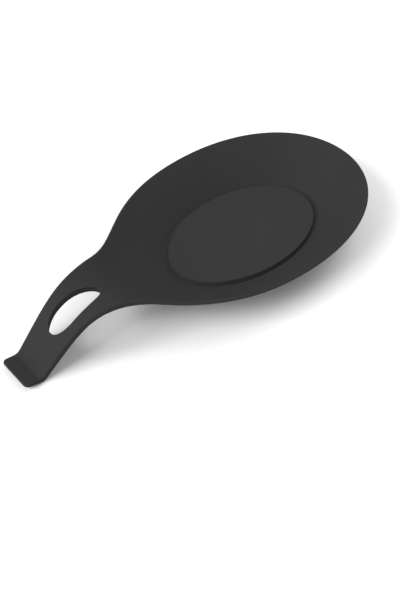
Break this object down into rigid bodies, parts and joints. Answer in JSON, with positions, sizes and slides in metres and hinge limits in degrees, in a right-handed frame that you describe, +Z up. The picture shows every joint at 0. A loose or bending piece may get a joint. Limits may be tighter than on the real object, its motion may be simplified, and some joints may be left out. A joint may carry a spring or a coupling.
{
  "type": "spoon rest",
  "caption": "One-piece moulded spoon rest with an egg-shaped bowl, a raised oval plateau, and an arched handle with a hanging slot and a turned-up end.",
  "frame": {"origin": "on the table, under the middle of the length and on the line of symmetry", "axes": "+X along the rest towards the bowl's tip, +Y across it, +Z up from the table"},
  "size_m": [0.2, 0.0976, 0.027],
  "materials": {
    "silicone": "matte moulded silicone, charcoal grey"
  },
  "bodies": {
    "root": {"bowl": "silicone", "plateau": "silicone", "foot_ring": "silicone", "handle": "silicone", "end_lip": "silicone"}
  },
  "joints": []
}
